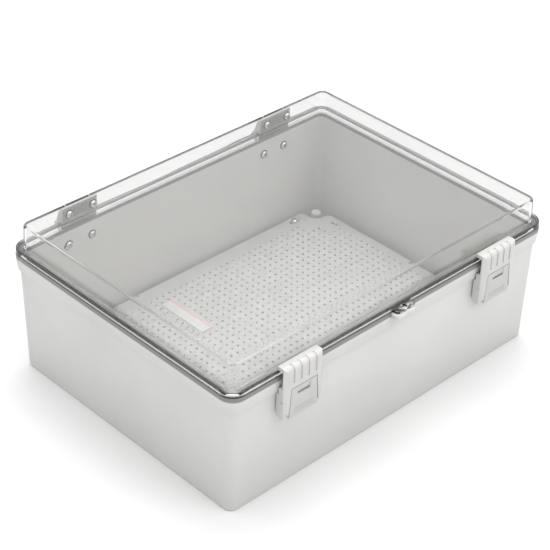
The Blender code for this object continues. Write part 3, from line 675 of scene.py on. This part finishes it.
def build_gasket(mats):
    """Flat foam seal between rim and flange, its edges slightly round."""
    outer = INNER_TOP + LIP_WIDTH + 4.9 * MM
    inner = outer - 3.4 * MM
    low = SEAM_Z + 0.1 * MM
    high = LID_LOW.z - 0.1 * MM
    profile = rounded_loop([
        (inner, low, 0.3 * MM),
        (outer, low, 0.3 * MM),
        (outer, high, 0.3 * MM),
        (inner, high, 0.3 * MM),
    ])
    ring = mesh_object("rim_gasket", sweep(profile, SHELL_HALF, SHELL_CORNER, closed_ring=True))
    boolean(ring, merged(hinge_recesses(SEAM_Z - MM, LID_LOW.z + MM)), "DIFFERENCE")
    finish_piece(ring, mats["gasket"], "box", ["lid_gasket"])


# ================================================================ mounting plate
def plate_outline():
    """Plate edge: at each corner two round ears with a round bay for the pillar between them."""
    pillar = centre_of("mount_plug_4")
    bay = 11.5 * MM
    ear = 6.0 * MM
    reach = bay + ear
    back_y = PLATE_HIGH.y - ear
    back_x = pillar.x - math.sqrt(reach ** 2 - (back_y - pillar.y) ** 2)
    side_x = PLATE_HIGH.x - ear
    side_y = pillar.y - math.sqrt(reach ** 2 - (side_x - pillar.x) ** 2)
    first = math.degrees(math.atan2(pillar.y - back_y, pillar.x - back_x))
    last = math.degrees(math.atan2(pillar.y - side_y, pillar.x - side_x))
    corner = arc((back_x, back_y), ear, 90.0, first, 10)[:-1]
    corner += arc((pillar.x, pillar.y), bay, first + 180.0, last + 180.0, 20)[:-1]
    corner += arc((side_x, side_y), ear, last, 0.0, 10)
    outline = list(corner)
    outline += [(x, -y) for x, y in reversed(corner)]
    outline += [(-x, -y) for x, y in corner]
    outline += [(-x, y) for x, y in reversed(corner)]
    return outline


def plate_holes():
    """Square grid of small holes, left out near the corners and under the marking strip."""
    centres = []
    for column in range(-PLATE_COLUMNS, PLATE_COLUMNS + 1):
        for row in range(-PLATE_ROWS, PLATE_ROWS + 1):
            x = column * PLATE_PITCH
            y = row * PLATE_PITCH
            blank = any(abs(row) >= r and abs(column) > c for r, c in BLANK_CORNERS)
            under_strip = STRIP_LOW.x < x < STRIP_HIGH.x and STRIP_LOW.y < y < STRIP_HIGH.y
            if not blank and not under_strip:
                centres.append((x, y))
    return centres


def build_plate(mats):
    loops = [plate_outline()]
    for i in range(1, 5):
        screw = centre_of(f"plate_screw_{i}")
        loops.append(stadium((screw.x, screw.y), 7.5 * MM, 2.4 * MM))
    for point in mirrored(*SIDE_SLOT):
        loops.append(stadium(point, 4.6 * MM, 2.4 * MM, along_x=False))
    for centre in plate_holes():
        loops.append(circle(centre, PLATE_HOLE, HOLE_STEPS))
    shape = perforated_sheet(loops, PLATE_LOW.z, PLATE_HIGH.z)
    plate = mesh_object("perforated_plate", shape)
    finish_piece(plate, mats["plate"], "box", ["mounting_plate"])


def perforated_sheet(loops, low, high):
    """Flat sheet between an outer loop and the holes listed after it."""
    points = []
    outlines = []
    for loop in loops:
        outlines.append(list(range(len(points), len(points) + len(loop))))
        points += [Vector(p) for p in loop]
    inside_with_holes = 2
    flat = delaunay_2d_cdt(points, [], outlines, inside_with_holes, 1e-7)
    flat_points, flat_faces = flat[0], flat[2]
    shape = bmesh.new()
    top = [shape.verts.new((p.x, p.y, high)) for p in flat_points]
    bottom = [shape.verts.new((p.x, p.y, low)) for p in flat_points]
    for face in flat_faces:
        shape.faces.new([top[i] for i in face])
        shape.faces.new([bottom[i] for i in reversed(face)])
    middle = (low + high) / 2.0
    borders = [e for e in shape.edges if len(e.link_faces) == 1 and e.verts[0].co.z > middle]
    index_of = {v: i for i, v in enumerate(top)}
    for edge in borders:
        a, b = (index_of[v] for v in edge.verts)
        shape.faces.new((top[a], top[b], bottom[b], bottom[a]))
    bmesh.ops.recalc_face_normals(shape, faces=shape.faces)
    return shape


def build_strip(mats):
    strip = mesh_object("marking_plate_strip", block(STRIP_LOW, STRIP_HIGH))
    soften_edges(strip, 0.2 * MM)
    finish_piece(strip, mats["marking_strip"], "box", ["marking_strip"])


# ================================================================ screws and plugs
def pan_screw(name, seat, axis, shank, length, mats, body, node):
    """Pan-head screw with a cross recess; the head stands on seat towards axis."""
    radius = SCREW_HEAD
    height = 0.68 * radius
    head = [(shank, -length), (shank, 0.0), (radius, 0.0), (radius, 0.22 * height)]
    for i in range(1, 7):
        angle = math.radians(90.0 * i / 7)
        head.append((radius * math.cos(angle) ** 0.75, height * (0.22 + 0.78 * math.sin(angle))))
    head.append((0.12 * radius, height))
    screw = mesh_object(name, turned(head, seat, axis))
    turn = Vector((0.0, 0.0, 1.0)).rotation_difference(Vector(axis)).to_matrix().to_4x4()
    place = Matrix.Translation(seat) @ turn
    arms = []
    half = 0.12 * radius
    reach = 0.58 * radius
    for wide, long in ((half, reach), (reach, half)):
        arm = block((-wide, -long, 0.35 * height), (wide, long, height * 1.3))
        bmesh.ops.transform(arm, matrix=place, verts=arm.verts)
        arms.append(arm)
    for arm in arms:
        boolean(screw, arm, "DIFFERENCE")
    finish_piece(screw, mats["steel"], body, [node], angle=40.0)


def dark_head_ring(name, seat, axis, mats, body):
    """Thin dark ring between a pan head and the wall that it passes through."""
    low = -0.2 * MM
    high = 0.2 * MM
    inner = 2.5 * MM
    outer = 4.5 * MM
    ring = [(inner, low), (outer, low), (outer, high), (inner, high)]
    washer = mesh_object(name, turned(ring, seat, axis, closed_ring=True))
    finish_piece(washer, mats["gasket"], body)


def build_plate_screws(mats):
    for i in range(1, 5):
        node = f"plate_screw_{i}"
        centre = centre_of(node)
        seat = Vector((centre.x, centre.y, PLATE_HIGH.z + 0.1 * MM))
        name = f"pan_screw_plate_{i}"
        pan_screw(name, seat, (0, 0, 1), 1.4 * MM, 9.0 * MM, mats, "box", node)


def build_wall_screws(mats):
    """Hinge screws with their heads inside, latch screws with their heads outside."""
    inward = (0, -1, 0)
    outward = (0, 1, 0)
    shank = 1.8 * MM
    for side in ("left", "right"):
        for i in (1, 2):
            for body in ("lid", "box"):
                node = f"hinge_{side}_{body}_screw_{i}"
                low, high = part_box(node)
                seat_y = low.y + HEAD_HEIGHT
                seat = Vector(((low.x + high.x) / 2.0, seat_y, (low.z + high.z) / 2.0))
                name = f"pan_screw_hinge_{side}_{body}_{i}"
                pan_screw(name, seat, inward, shank, high.y - seat.y, mats, body, node)
                name = f"washer_hinge_{side}_{body}_{i}"
                dark_head_ring(name, seat, inward, mats, body)
            node = f"latch_{side}_screw_{i}"
            low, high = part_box(node)
            seat_y = high.y - HEAD_HEIGHT
            seat = Vector(((low.x + high.x) / 2.0, seat_y, (low.z + high.z) / 2.0))
            name = f"pan_screw_latch_{side}_{i}"
            pan_screw(name, seat, outward, shank, seat.y - low.y, mats, "box", node)


def build_plugs(mats):
    for i in range(1, 5):
        low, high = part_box(f"mount_plug_{i}")
        at = Vector(((low.x + high.x) / 2.0, (low.y + high.y) / 2.0, low.z))
        tall = high.z - low.z
        cap = tall - 1.9 * MM
        profile = [(1.9 * MM, 0.0), (2.6 * MM, 1.6 * MM), (2.6 * MM, cap), (4.7 * MM, cap)]
        shoulder = arc((0.0, 0.0), 1.3 * MM, 0.0, 90.0, 5)
        profile += [(3.4 * MM + a, cap + 0.6 * MM + b) for a, b in shoulder]
        profile.append((1.0 * MM, tall - 0.1 * MM))
        plug = mesh_object(f"plug_cap_{i}", turned(profile, at, (0, 0, 1)))
        finish_piece(plug, mats["plug"], "box", [f"mount_plug_{i}"])


# ================================================================ lid
def lid_profile():
    """Cross-section of the lid from the inner top to the outer top."""
    wall = 3.0 * MM
    under = LID_LOW.z
    flange_top = under + FLANGE_THICK
    return rounded_line([
        (-7.5 * MM, LID_TOP - wall, 0.0),
        (-wall, LID_TOP - wall, 0.5 * MM),
        (-2.1 * MM, under, 0.6 * MM),
        (8.1 * MM, under, 0.4 * MM),
        (8.1 * MM, flange_top, 0.5 * MM),
        (1.0 * MM, flange_top, 0.7 * MM),
        (0.0, LID_TOP, 1.8 * MM),
        (-7.9 * MM, LID_TOP, 0.0),
    ])


def build_lid(mats):
    cover = mesh_object("clear_dome", sweep(lid_profile(), DOME_HALF, DOME_CORNER))
    under = LID_LOW.z
    add_lug(cover, under + GAP, under + 2.4 * MM, 0.4 * MM, segments=2)
    tools = [rod(HASP_HOLE, "Z", (0.0, HASP_HOLE_Y), under - 2.0 * MM, under + 4.0 * MM)]
    for side in ("left", "right"):
        for i in (1, 2):
            at = centre_of(f"hinge_{side}_lid_screw_{i}")
            tools.append(rod(2.3 * MM, "Y", (at.x, at.z), 134.0 * MM, 144.0 * MM))
    tools += hinge_recesses(under - 2.0 * MM, under + 8.0 * MM)
    boolean(cover, merged(tools), "DIFFERENCE")
    finish_piece(cover, mats["clear_cover"], "lid", ["lid_cover"], angle=30.0)


# ================================================================ hinges
def build_lid_leaf(side, mats):
    """Leaf on the lid: ribbed plate inside the dome, barrel between the box leaf's ears."""
    node = f"hinge_{side}_lid_leaf"
    low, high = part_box(node)
    y, z = HINGE_Y, HINGE_Z
    middle = (low.x + high.x) / 2.0
    foot = 141.4 * MM
    flange_top = LID_LOW.z + FLANGE_THICK
    side_view = rounded_loop([
        (foot + 1.1 * MM, flange_top + 0.5 * MM, 0.4 * MM),
        (y + 0.2 * MM, z + KNUCKLE + 0.6 * MM, 0.3 * MM),
        (y + 0.2 * MM, z + KNUCKLE + 1.6 * MM, 0.4 * MM),
        (y - 4.0 * MM, z + 17.5 * MM, 1.5 * MM),
        (y - 7.3 * MM, high.z, 1.0 * MM),
        (foot - 0.3 * MM, high.z, 0.3 * MM),
        (foot + 0.5 * MM, flange_top + 1.7 * MM, 0.3 * MM),
    ])
    leaf = mesh_object(f"hinge_leaf_lid_{side}", prism(side_view, "X", low.x, high.x))
    barrel = arc((y, z), KNUCKLE, 180.0, 360.0, 24)
    barrel += [(y - 0.7 * MM, z + 7.0 * MM), (y - KNUCKLE, z + 7.0 * MM)]
    reach = KNUCKLE_SPLIT - GAP
    boolean(leaf, prism(barrel, "X", middle - reach, middle + reach), "UNION")
    tools = [rod(HINGE_BORE, "X", (y, z), low.x - OVERCUT, high.x + OVERCUT)]
    pocket = [
        (foot - MM, z + 6.8 * MM),
        (foot + 3.2 * MM, z + 6.8 * MM),
        (foot + 1.8 * MM, z + 18.2 * MM),
        (foot - 2.0 * MM, z + 18.2 * MM),
    ]
    for i in range(5):
        start = middle - 8.0 * MM + i * 3.3 * MM
        tools.append(prism(pocket, "X", start, start + 2.5 * MM))
    for i in (1, 2):
        at = centre_of(f"hinge_{side}_lid_screw_{i}")
        tools.append(rod(2.2 * MM, "Y", (at.x, at.z), foot - 2.0 * MM, y - 5.3 * MM))
    boolean(leaf, merged(tools), "DIFFERENCE")
    soften_edges(leaf, 0.3 * MM)
    finish_piece(leaf, mats["hinge"], "lid", [node])


def build_box_leaf(side, mats):
    """Leaf on the box: slab on the back wall with an ear at each end for the pin."""
    node = f"hinge_{side}_box_leaf"
    low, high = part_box(node)
    y, z = HINGE_Y, HINGE_Z
    middle = (low.x + high.x) / 2.0
    heel = 145.6 * MM
    back = RECESS_Y + GAP
    shelf = COLLAR_Z - GAP
    head = z - KNUCKLE - 0.9 * MM
    slab = rounded_loop([
        (back, shelf, 0.3 * MM),
        (back, head, 0.0),
        (high.y, head, 0.0),
        (high.y, low.z, 2.6 * MM),
        (heel, low.z, 0.4 * MM),
        (heel, shelf, 0.3 * MM),
    ])
    leaf = mesh_object(f"hinge_leaf_box_{side}", prism(slab, "X", low.x, high.x))
    ear = arc((y, z), KNUCKLE, 0.0, 180.0, 24)
    ear += [(y - KNUCKLE, z - KNUCKLE - 2.0 * MM), (y + KNUCKLE, z - KNUCKLE - 2.0 * MM)]
    boolean(leaf, prism(ear, "X", low.x, middle - KNUCKLE_SPLIT), "UNION")
    boolean(leaf, prism(ear, "X", middle + KNUCKLE_SPLIT, high.x), "UNION")
    tools = [rod(HINGE_BORE, "X", (y, z), low.x - OVERCUT, high.x + OVERCUT)]
    for i in (1, 2):
        at = centre_of(f"hinge_{side}_box_screw_{i}")
        tools.append(rod(2.2 * MM, "Y", (at.x, at.z), heel - OVERCUT, y + 1.4 * MM))
    boolean(leaf, merged(tools), "DIFFERENCE")
    soften_edges(leaf, 0.3 * MM)
    finish_piece(leaf, mats["hinge"], "box", [node])


# ================================================================ latches
def build_hook(side, mats):
    """Ribbed frame that reaches over the lid flange."""
    node = f"latch_{side}_hook"
    low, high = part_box(node)
    centre = LATCH_X[side]
    half = (high.x - low.x) / 2.0
    face = low.y
    top = high.z
    foot = low.z
    window_top = LEVER_PIVOT[1] + 2.1 * MM
    lip_end = -145.7 * MM
    lip_low = LID_LOW.z + 4.8 * MM
    inner_face = -152.7 * MM
    bar_top = 115.9 * MM
    rear = -145.9 * MM
    notch_rear = -148.4 * MM
    step = COLLAR_Z - 0.5 * MM
    outline = rounded_loop([
        (lip_end, lip_low, 0.4 * MM),
        (lip_end, top - 0.2 * MM, 1.4 * MM),
        (face, top, HOOK_SHOULDER),
        (face, foot + 5.0 * MM, 3.0 * MM),
        (face + 3.4 * MM, foot, 2.0 * MM),
        (rear, foot, 5.0 * MM),
        (rear, step, 0.6 * MM),
        (notch_rear, step, 0.3 * MM),
        (notch_rear, bar_top, 0.6 * MM),
        (inner_face, bar_top, 1.2 * MM),
        (inner_face, lip_low, 0.8 * MM),
    ])
    hook = mesh_object(f"draw_hook_{side}", prism(outline, "X", centre - half, centre + half))
    inner = half - 4.0 * MM
    wall_back = face + 3.0 * MM
    below = foot - OVERCUT
    hollow = block((centre - inner, wall_back, below), (centre + inner, -140.0 * MM, 130.0 * MM))
    boolean(hook, hollow, "DIFFERENCE")
    window = [
        (centre - 15.2 * MM, window_top),
        (centre - 17.9 * MM, below),
        (centre + 17.9 * MM, below),
        (centre + 15.2 * MM, window_top),
    ]
    boolean(hook, prism(window, "Y", face - OVERCUT, wall_back + OVERCUT), "DIFFERENCE")
    bevels = []
    for way in (-1, 1):
        levels = ((21.0, top + MM), (16.2, window_top), (18.4, foot - 2 * MM))
        bevels.append(loft([bevel_loop(centre, half, face, x * MM, z, way) for x, z in levels]))
    boolean(hook, merged(bevels), "DIFFERENCE")
    soften_edges(hook, 0.45 * MM, segments=3)
    grooves = []
    groove_half = 1.35 * MM
    for i in range(4):
        x = centre + (i - 1.5) * 8.6 * MM
        grooves.append(prism(groove_outline(face, top), "X", x - groove_half, x + groove_half))
    boolean(hook, merged(grooves), "DIFFERENCE")
    reach = half + OVERCUT
    pin_hole = rod(LATCH_BORE, "X", tuple(HOOK_PIVOT), centre - reach, centre + reach)
    boolean(hook, pin_hole, "DIFFERENCE")
    finish_piece(hook, mats["hook"], f"{side}_hook", [node])


def bevel_loop(centre, half, face, front_x, z, way):
    """Section of the wedge taken off the front corner of the hook."""
    out = 0.5 * MM
    side_depth = 2.4 * MM
    return [
        (centre + way * front_x, face - out, z),
        (centre + way * (half + out), face - out, z),
        (centre + way * (half + out), face + side_depth, z),
        (centre + way * half, face + side_depth, z),
        (centre + way * front_x, face, z),
    ]


def groove_outline(face, top):
    """Shallow band over the front face and the rounded top edge."""
    depth = 0.8 * MM
    low = 119.5 * MM
    back = -150.6 * MM
    out = 2.0 * MM
    outline = [(face - out, low), (face, low), (face + depth, low + 0.6 * MM)]
    bend = (face + HOOK_SHOULDER, top - HOOK_SHOULDER)
    outline += arc(bend, HOOK_SHOULDER - depth, 180.0, 90.0, 10)
    outline += [(back - 0.6 * MM, top - depth), (back, top), (back, top + out)]
    outline += [(face - out, top + out)]
    return outline


def build_lever(side, mats):
    """Flap between the hook's cheeks."""
    node = f"latch_{side}_lever"
    low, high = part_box(node)
    centre = LATCH_X[side]
    face = low.y
    rear = face + 2.4 * MM
    foot = low.z
    top = LEVER_PIVOT[1] + 1.1 * MM
    flap = [
        (centre - 14.6 * MM, top),
        (centre - 16.7 * MM, foot),
        (centre + 16.7 * MM, foot),
        (centre + 14.6 * MM, top),
    ]
    lever = mesh_object(f"draw_lever_{side}", prism(flap, "Y", face, rear))
    hub = 2.6 * MM
    ay, az = LEVER_PIVOT
    by, bz = HOOK_PIVOT
    inside = rear - MM
    upper = arc((ay, az), hub, -90.0, 90.0, 16)
    upper += [(inside, az + 0.6 * MM), (inside, az - hub)]
    boolean(lever, prism(upper, "X", centre - 9.6 * MM, centre + 9.6 * MM), "UNION")
    lower = arc((by, bz), hub, -90.0, 90.0, 16)
    lower += [(inside, bz + hub), (inside, bz - hub)]
    boolean(lever, prism(lower, "X", centre - 15.0 * MM, centre + 15.0 * MM), "UNION")
    front = face - OVERCUT
    reach = 20.0 * MM
    slot_low = 105.5 * MM
    slot_high = 107.3 * MM
    slot = 7.0 * MM
    tools = [
        rod(LATCH_BORE, "X", (ay, az), centre - reach, centre + reach),
        rod(LATCH_BORE, "X", (by, bz), centre - reach, centre + reach),
        block((centre - slot, front, slot_low), (centre + slot, rear + 5.0 * MM, slot_high)),
    ]
    boolean(lever, merged(tools), "DIFFERENCE")
    ramp = [(front, top + MM), (face, top + MM), (face + MM, slot_high), (front, slot_high)]
    boolean(lever, prism(ramp, "X", centre - 7.4 * MM, centre + 7.4 * MM), "DIFFERENCE")
    soften_edges(lever, 0.3 * MM)
    lines = []
    half = 11.5 * MM
    cut = face + 0.35 * MM
    for i in range(3):
        z = 87.6 * MM + i * 2.2 * MM
        lines.append(block((centre - half, front, z), (centre + half, cut, z + 0.45 * MM)))
    boolean(lever, merged(lines), "DIFFERENCE")
    finish_piece(lever, mats["lever"], f"{side}_lever", [node])


# ================================================================ carried-over nodes
def dress_cad_nodes(mats):
    """Finish for the CAD nodes that stay as they are."""
    slots = {entry["node"]: entry["material_slot"] for entry in frame["record"]["subparts"]}
    for name, node in frame["nodes"].items():
        node.data.materials.clear()
        node.data.materials.append(mats[slots[name]])


# ================================================================ stage
CAMERA_AZIMUTH = -44.81      # degrees round from the front
CAMERA_ELEVATION = 34.56
CAMERA_ROLL = 1.80
CAMERA_TARGET = Vector((-76.9 * MM, -69.6 * MM, 156.0 * MM))
CAMERA_DISTANCE = 1506.0 * MM
CAMERA_LENS = 114.4
SKY_LOW = 0.25               # brightness of the studio tent at the horizon
SKY_HIGH = 1.95              # and overhead


def place_camera():
    azimuth = math.radians(CAMERA_AZIMUTH)
    elevation = math.radians(CAMERA_ELEVATION)
    back = Vector((math.sin(azimuth) * math.cos(elevation),
                   -math.cos(azimuth) * math.cos(elevation),
                   math.sin(elevation)))
    level_right = Vector((0.0, 0.0, 1.0)).cross(back).normalized()
    level_up = back.cross(level_right)
    roll = math.radians(CAMERA_ROLL)
    right = level_right * math.cos(roll) + level_up * math.sin(roll)
    up = level_up * math.cos(roll) - level_right * math.sin(roll)
    data = bpy.data.cameras.new("camera")
    data.lens = CAMERA_LENS
    data.sensor_width = 36.0
    data.clip_start = 0.05
    data.clip_end = 50.0
    camera = bpy.data.objects.new("camera", data)
    turn = Matrix((right, up, back)).transposed().to_4x4()
    camera.matrix_world = Matrix.Translation(CAMERA_TARGET + back * CAMERA_DISTANCE) @ turn
    bpy.context.scene.collection.objects.link(camera)
    bpy.context.scene.camera = camera


def add_area(name, place, aim, size, power):
    data = bpy.data.lights.new(name, "AREA")
    data.shape = "RECTANGLE"
    data.size, data.size_y = size
    data.energy = power
    lamp = bpy.data.objects.new(name, data)
    turn = (Vector(aim) - Vector(place)).to_track_quat("-Z", "Y").to_matrix().to_4x4()
    lamp.matrix_world = Matrix.Translation(place) @ turn
    bpy.context.scene.collection.objects.link(lamp)


def build_stage():
    floor = mesh_object("floor", block((-6.0, -6.0, -0.02), (6.0, 6.0, 0.0)))
    tree = Tree("floor_paper")
    paper = tree.mix(tree.ramp(tree.noise(3.0), 0.3, 0.7), (0.73, 0.73, 0.73), (0.75, 0.75, 0.75))
    tree.join(paper, tree.shader.inputs["Base Color"])
    tree.shader.inputs["Roughness"].default_value = 0.9
    tree.shader.inputs["Specular IOR Level"].default_value = 0.1
    floor.data.materials.append(tree.material)

    world = bpy.data.worlds.new("studio")
    bpy.context.scene.world = world
    world.use_nodes = True
    sky = world.node_tree
    background = sky.nodes["Background"]
    background.inputs["Color"].default_value = (1.0, 1.0, 1.0, 1.0)
    direction = sky.nodes.new("ShaderNodeTexCoord").outputs["Generated"]
    split = sky.nodes.new("ShaderNodeSeparateXYZ")
    sky.links.new(direction, split.inputs["Vector"])
    rise = sky.nodes.new("ShaderNodeMapRange")
    sky.links.new(split.outputs["Z"], rise.inputs["Value"])
    rise.inputs["To Min"].default_value = SKY_LOW
    rise.inputs["To Max"].default_value = SKY_HIGH
    sky.links.new(rise.outputs["Result"], background.inputs["Strength"])

    add_area("key_light", (0.9, -2.4, 2.2), (0.0, 0.0, 0.05), (1.6, 1.6), 15.0)
    add_area("top_light", (0.55, 0.6, 2.6), (0.0, 0.0, 0.1), (1.2, 1.2), 16.0)
    bpy.context.scene.view_settings.view_transform = "Standard"


def main():
    mats = make_materials()
    dress_cad_nodes(mats)
    build_box(mats)
    build_gasket(mats)
    build_plate(mats)
    build_strip(mats)
    build_plate_screws(mats)
    build_wall_screws(mats)
    build_plugs(mats)
    build_lid(mats)
    for side in ("left", "right"):
        build_lid_leaf(side, mats)
        build_box_leaf(side, mats)
        build_hook(side, mats)
        build_lever(side, mats)
    build_stage()
    place_camera()


main()
